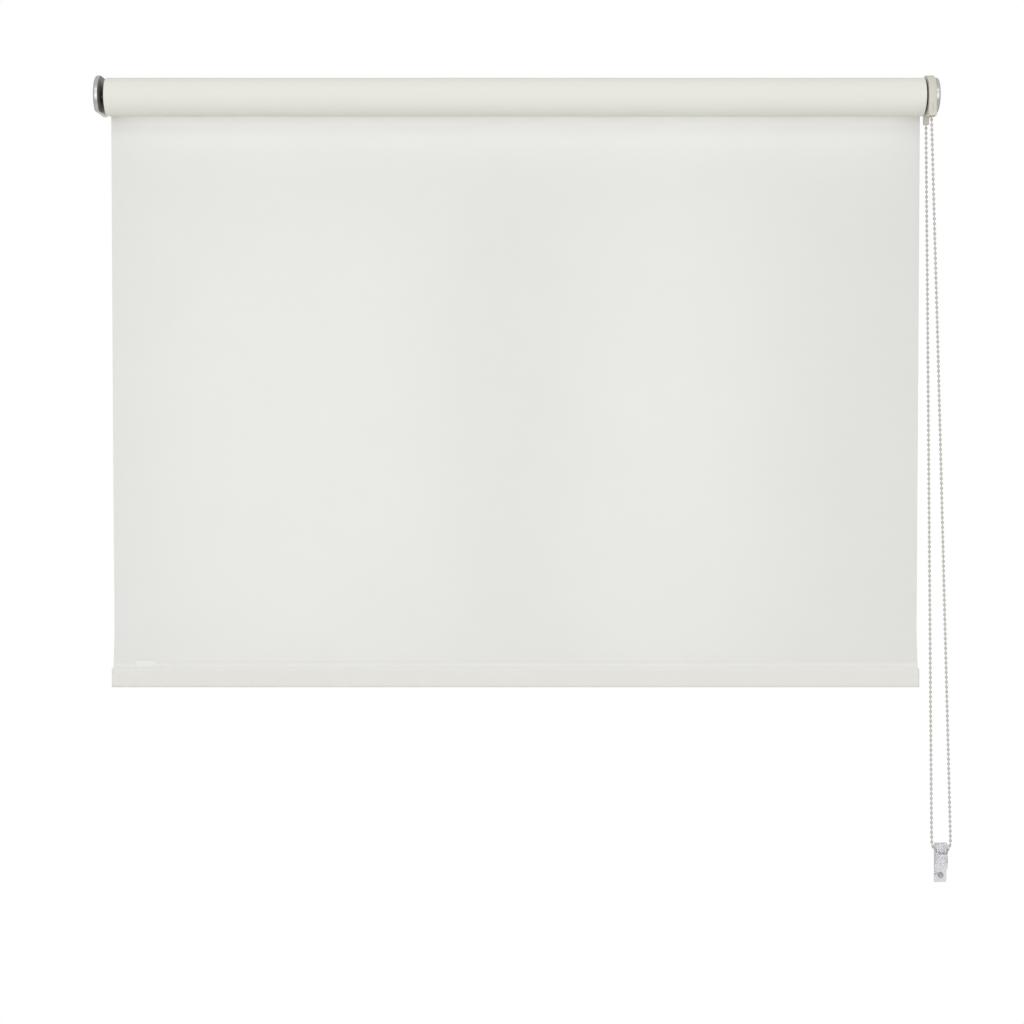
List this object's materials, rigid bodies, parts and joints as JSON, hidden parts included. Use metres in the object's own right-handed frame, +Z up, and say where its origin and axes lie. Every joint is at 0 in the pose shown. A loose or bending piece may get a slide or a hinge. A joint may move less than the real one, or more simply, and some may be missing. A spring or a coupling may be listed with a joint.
{
  "type": "roller blind",
  "caption": "Chain-operated roller blind: fabric roll on a tube between two covered wall brackets, weighted hem, bead chain loop and clear chain holder.",
  "frame": {"origin": "on the wall plane, midway along the roll and level with the roller's axis", "axes": "+X along the roller towards the chain side, +Y into the wall, +Z up"},
  "size_m": [1.0539, 0.0857, 0.9951],
  "materials": {
    "fabric": "plain-woven translucent polyester, off-white",
    "satin_silver": "satin silver lacquer on moulded plastic",
    "grey_plastic": "moulded warm grey plastic",
    "white_plastic": "moulded off-white plastic",
    "black_plastic": "moulded black plastic",
    "zinc_steel": "bright zinc-plated steel",
    "dark_steel": "dark painted folded steel",
    "aluminium": "extruded aluminium",
    "chain_plastic": "pale grey moulded beads on a cord",
    "clear_plastic": "clear moulded plastic",
    "label": "blank woven tab"
  },
  "bodies": {
    "root": {"left_bracket": "dark_steel", "left_cover": "satin_silver", "left_wall_screw_upper": "zinc_steel", "left_wall_screw_lower": "zinc_steel", "idle_bush": "black_plastic", "clutch_hub": "grey_plastic", "hub_retaining_ring": "zinc_steel", "clutch_screw": "zinc_steel", "chain_guard": "grey_plastic", "right_bracket": "dark_steel", "right_cover": "satin_silver", "right_wall_screw_upper": "zinc_steel", "right_wall_screw_lower": "zinc_steel", "shade_cloth": "fabric", "chain_front_strand": "chain_plastic", "chain_holder_loop": "chain_plastic", "chain_back_strand": "chain_plastic", "chain_on_wheel": "chain_plastic", "chain_holder_base": "clear_plastic", "chain_holder_cover": "clear_plastic", "chain_holder_screw": "zinc_steel"},
    "roller": {"roller_tube": "aluminium", "fabric_spline": "white_plastic", "fabric_roll": "fabric", "idle_plug": "black_plastic", "spring_seat": "black_plastic", "idle_spring": "zinc_steel", "drive_sleeve": "black_plastic", "chain_wheel": "grey_plastic", "wrap_spring_inner": "zinc_steel", "wrap_spring_outer": "zinc_steel"},
    "idle_pin": {"idle_pin": "zinc_steel"},
    "hem": {"hem_pocket": "fabric", "bottom_bar": "aluminium", "bar_cap_left": "white_plastic", "bar_cap_right": "white_plastic", "blank_label": "label"}
  },
  "joints": [
    {"name": "roller_spin", "type": "hinge", "parent": "root", "child": "roller", "pos_m": [0, -0.035, 0], "axis": [1, 0, 0], "range_deg": [-2318, 1611]},
    {"name": "hem_lift", "type": "slide", "parent": "root", "child": "hem", "axis": [0, 0, 1], "range_m": [-0.95, 0.66], "deforming": ["shade_cloth"]},
    {"name": "idle_pin_slide", "type": "slide", "parent": "roller", "child": "idle_pin", "axis": [1, 0, 0], "range_m": [0, 0.008], "stiffness_N_per_m": 700, "springref_m": -0.006, "deforming": ["idle_spring"]}
  ],
  "couplings": [
    {"joint": "roller_spin", "follows": "hem_lift", "rad_per_m": 42.553}
  ]
}
